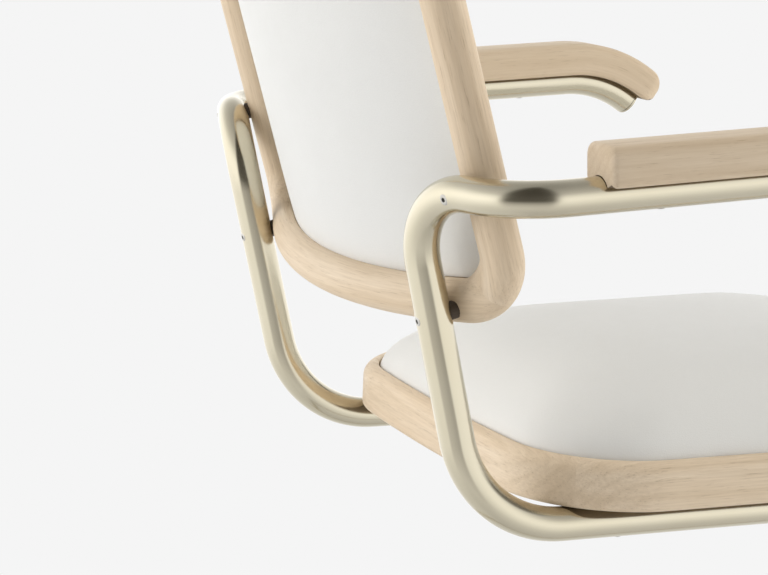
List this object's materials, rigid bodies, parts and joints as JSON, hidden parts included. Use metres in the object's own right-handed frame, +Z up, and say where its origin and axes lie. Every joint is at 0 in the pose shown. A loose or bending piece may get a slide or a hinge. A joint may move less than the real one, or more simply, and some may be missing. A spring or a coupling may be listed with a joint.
{
  "type": "cantilever armchair",
  "caption": "Cantilever armchair of bent metal tube with a padded wood-framed seat, a curved padded wood-framed back and wooden arm pads.",
  "frame": {"origin": "on the floor, under the middle of the chair's bounding box", "axes": "+Z up; the sitter faces -Y; +X is the sitter's left"},
  "size_m": [0.576, 0.6528, 0.8351],
  "materials": {
    "tube": "satin champagne",
    "wood": "pale oiled ash",
    "board": "raw plywood",
    "cover": "smooth white",
    "spacer": "matte dark",
    "screw": "plain",
    "glide": "matte pale"
  },
  "bodies": {
    "root": {"arm_pad_left": "wood", "arm_pad_right": "wood", "arm_plug_left": "tube", "arm_plug_right": "tube", "arm_screw_front_left": "screw", "arm_screw_front_right": "screw", "arm_screw_rear_left": "screw", "arm_screw_rear_right": "screw", "back_board": "board", "back_cover": "cover", "back_frame": "wood", "back_pad": "cover", "back_screw_high_left": "screw", "back_screw_high_right": "screw", "back_screw_low_left": "screw", "back_screw_low_right": "screw", "back_spacer_high_left": "spacer", "back_spacer_high_right": "spacer", "back_spacer_low_left": "spacer", "back_spacer_low_right": "spacer", "floor_sleeve": "screw", "glide_front_left": "glide", "glide_front_right": "glide", "glide_rear_left": "glide", "glide_rear_right": "glide", "seat_board": "board", "seat_frame": "wood", "seat_pad": "cover", "seat_screw_front_left": "screw", "seat_screw_front_right": "screw", "seat_screw_rear_left": "screw", "seat_screw_rear_right": "screw", "tube_left": "tube", "tube_right": "tube"}
  },
  "joints": []
}
